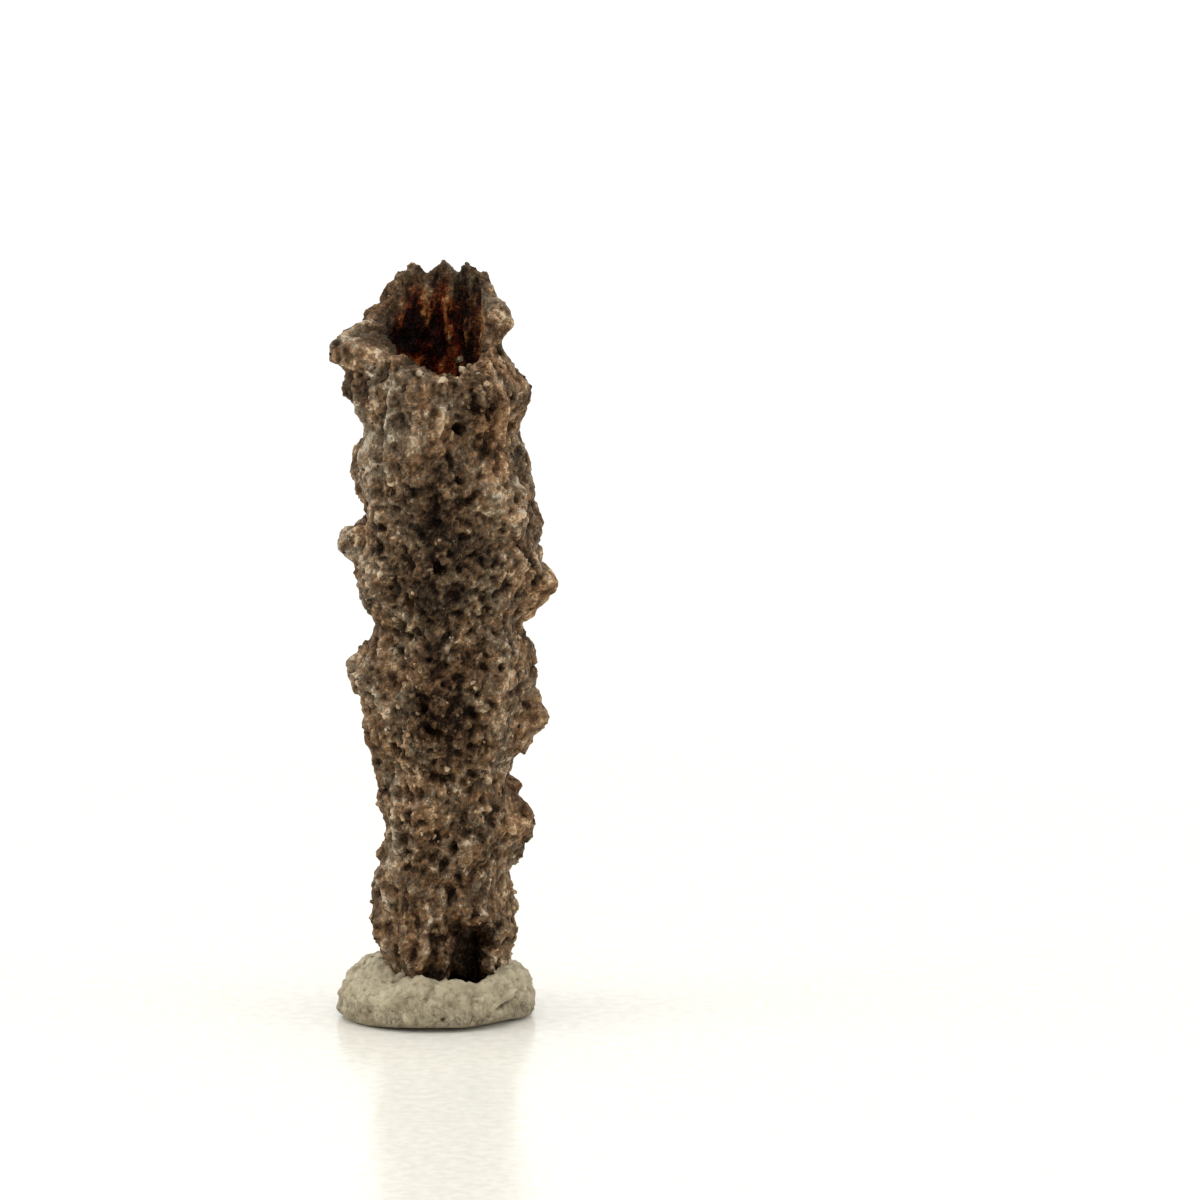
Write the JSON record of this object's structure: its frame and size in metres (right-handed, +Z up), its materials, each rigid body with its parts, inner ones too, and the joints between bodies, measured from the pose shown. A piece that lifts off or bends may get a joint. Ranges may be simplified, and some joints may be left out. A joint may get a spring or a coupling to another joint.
{
  "type": "fulgurite specimen",
  "caption": "Hollow, knobbly tube of lightning-fused sand with broken ends, held upright by a pad of mounting putty.",
  "frame": {"origin": "middle of the footprint of the whole specimen, on the surface that the putty pad rests on", "axes": "+Z up along the tube towards its open mouth; +X to the right and +Y to the back, with the rim's low side and the broken arch in the foot at the front"},
  "size_m": [0.0112, 0.0086, 0.0367],
  "materials": {
    "fused_sand": "brown-grey fused sand grains, glassy in places",
    "putty": "matte grey-beige putty"
  },
  "bodies": {
    "root": {"fulgurite": "fused_sand", "putty_pad": "putty"}
  },
  "joints": []
}
